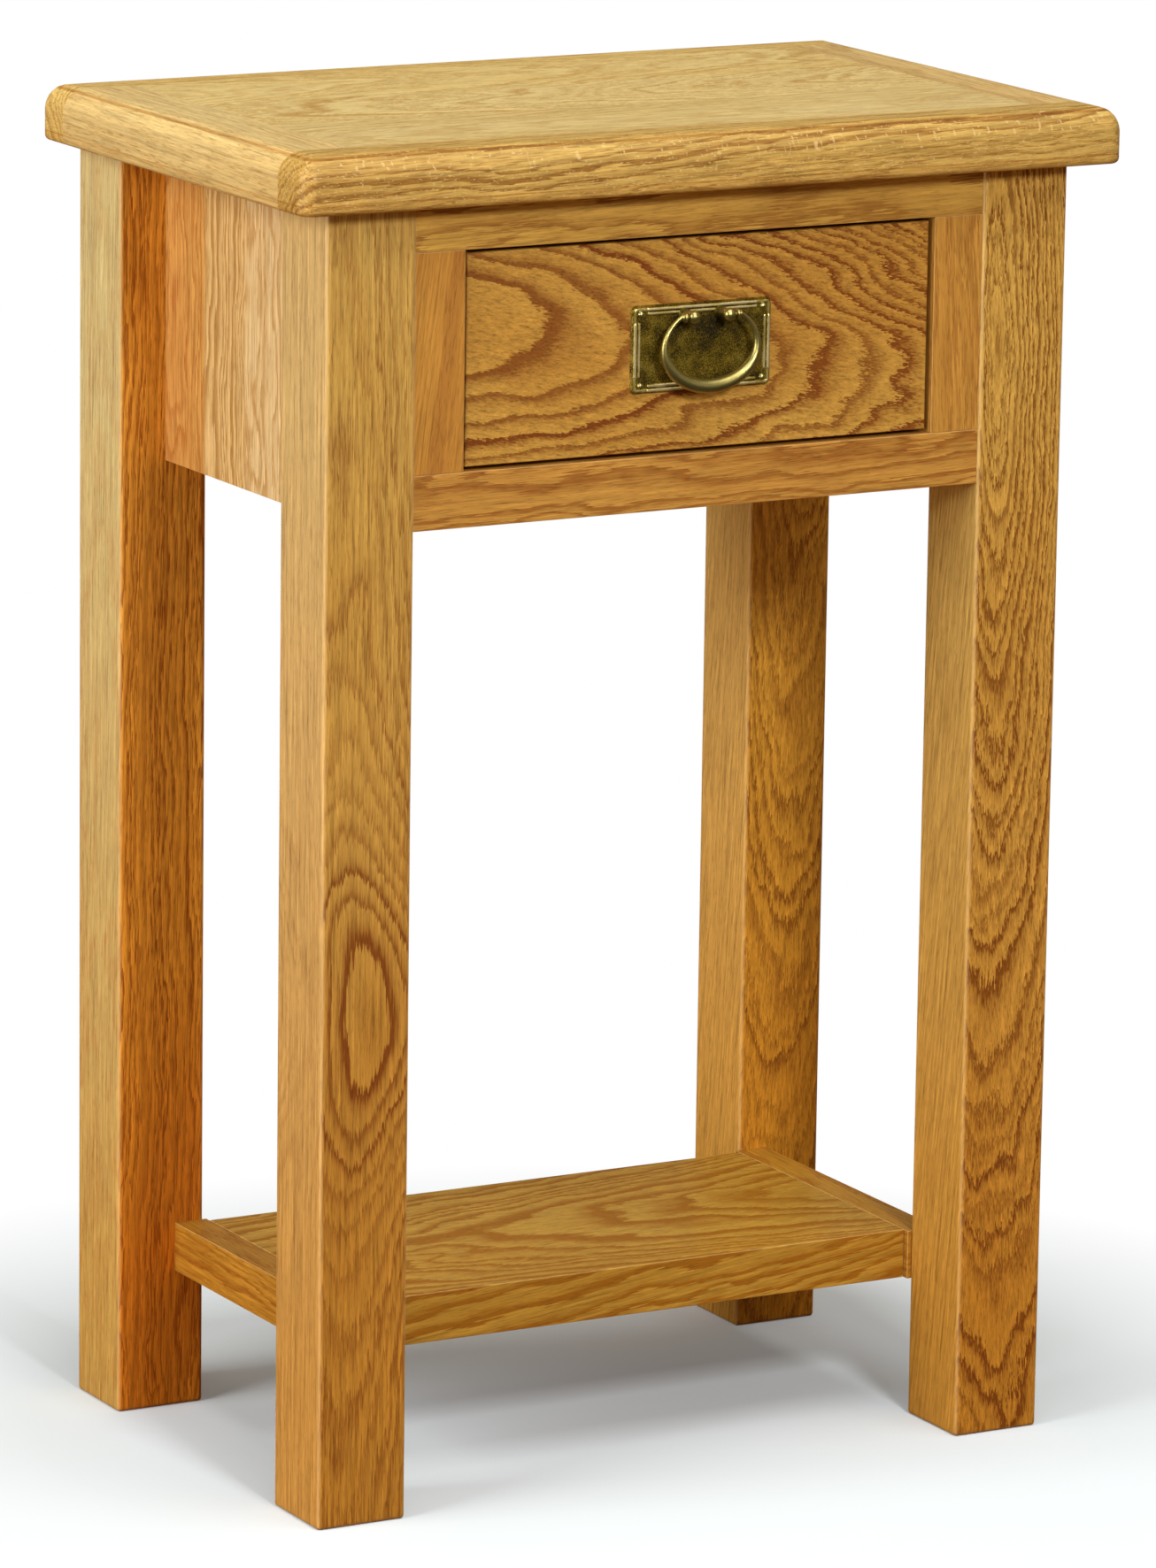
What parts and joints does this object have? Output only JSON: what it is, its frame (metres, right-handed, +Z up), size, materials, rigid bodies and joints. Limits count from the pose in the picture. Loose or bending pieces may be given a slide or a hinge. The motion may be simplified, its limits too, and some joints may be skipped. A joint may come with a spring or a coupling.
{
  "type": "side table with drawer",
  "caption": "Small oak hall table on square legs, with a rounded framed top, a drawer with a drop-ring handle and a low shelf.",
  "frame": {"origin": "on the floor, under the centre of the top", "axes": "+Z up, +X to the table's right as seen from the front, the drawer opens towards -Y"},
  "size_m": [0.502, 0.322, 0.75],
  "materials": {
    "oak_top": "clear satin lacquer, light golden oak",
    "oak_legs": "clear satin lacquer, straight and arched grain",
    "oak_front_frame": "clear satin lacquer",
    "oak_panels": "clear satin lacquer, glued staves of differing tone",
    "oak_inner_parts": "planed, unlacquered",
    "oak_shelf": "clear satin lacquer, darker golden oak",
    "oak_drawer_front": "clear satin lacquer, bold cathedral grain",
    "oak_drawer_box": "sanded and sealed, pale",
    "beech_dowels": "raw, turned",
    "zinc_plated_steel": "bright zinc plate",
    "antique_brass": "antiqued and brushed back on the high places"
  },
  "bodies": {
    "root": {"top_plank_front": "oak_top", "top_plank_middle": "oak_top", "top_plank_back": "oak_top", "top_lipping_front": "oak_top", "top_lipping_back": "oak_top", "top_lipping_left": "oak_top", "top_lipping_right": "oak_top", "leg_front_left": "oak_legs", "leg_front_right": "oak_legs", "leg_back_left": "oak_legs", "leg_back_right": "oak_legs", "rail_over_drawer": "oak_front_frame", "rail_under_drawer": "oak_front_frame", "stile_left": "oak_front_frame", "stile_right": "oak_front_frame", "side_stave_left_front": "oak_panels", "side_stave_left_mid_front": "oak_panels", "side_stave_left_mid_back": "oak_panels", "side_stave_left_back": "oak_panels", "side_stave_right_front": "oak_panels", "side_stave_right_mid_front": "oak_panels", "side_stave_right_mid_back": "oak_panels", "side_stave_right_back": "oak_panels", "back_panel": "oak_panels", "runner_left": "oak_inner_parts", "runner_right": "oak_inner_parts", "guide_left": "oak_inner_parts", "guide_right": "oak_inner_parts", "kicker_left": "oak_inner_parts", "kicker_right": "oak_inner_parts", "drawer_stops": "oak_inner_parts", "shelf_board": "oak_shelf", "shelf_rail_left": "oak_shelf", "shelf_rail_right": "oak_shelf", "stile_dowels": "beech_dowels", "guide_screws": "zinc_plated_steel", "top_screws": "zinc_plated_steel"},
    "drawer": {"drawer_front": "oak_drawer_front", "drawer_side_left": "oak_drawer_box", "drawer_side_right": "oak_drawer_box", "drawer_back": "oak_drawer_box", "drawer_bottom": "oak_drawer_box", "drawer_bottom_screws": "zinc_plated_steel", "handle_plate": "antique_brass", "handle_plate_pins": "antique_brass", "handle_post_left": "antique_brass", "handle_post_right": "antique_brass", "handle_washers": "zinc_plated_steel", "handle_nuts": "zinc_plated_steel"},
    "ring": {"handle_ring": "antique_brass"}
  },
  "joints": [
    {"name": "drawer_slide", "type": "slide", "parent": "root", "child": "drawer", "axis": [0, -1, 0], "range_m": [0, 0.2]},
    {"name": "ring_hinge", "type": "hinge", "parent": "drawer", "child": "ring", "pos_m": [0, -0.149, 0.6499], "axis": [-1, 0, 0], "range_deg": [-8, 110]}
  ]
}
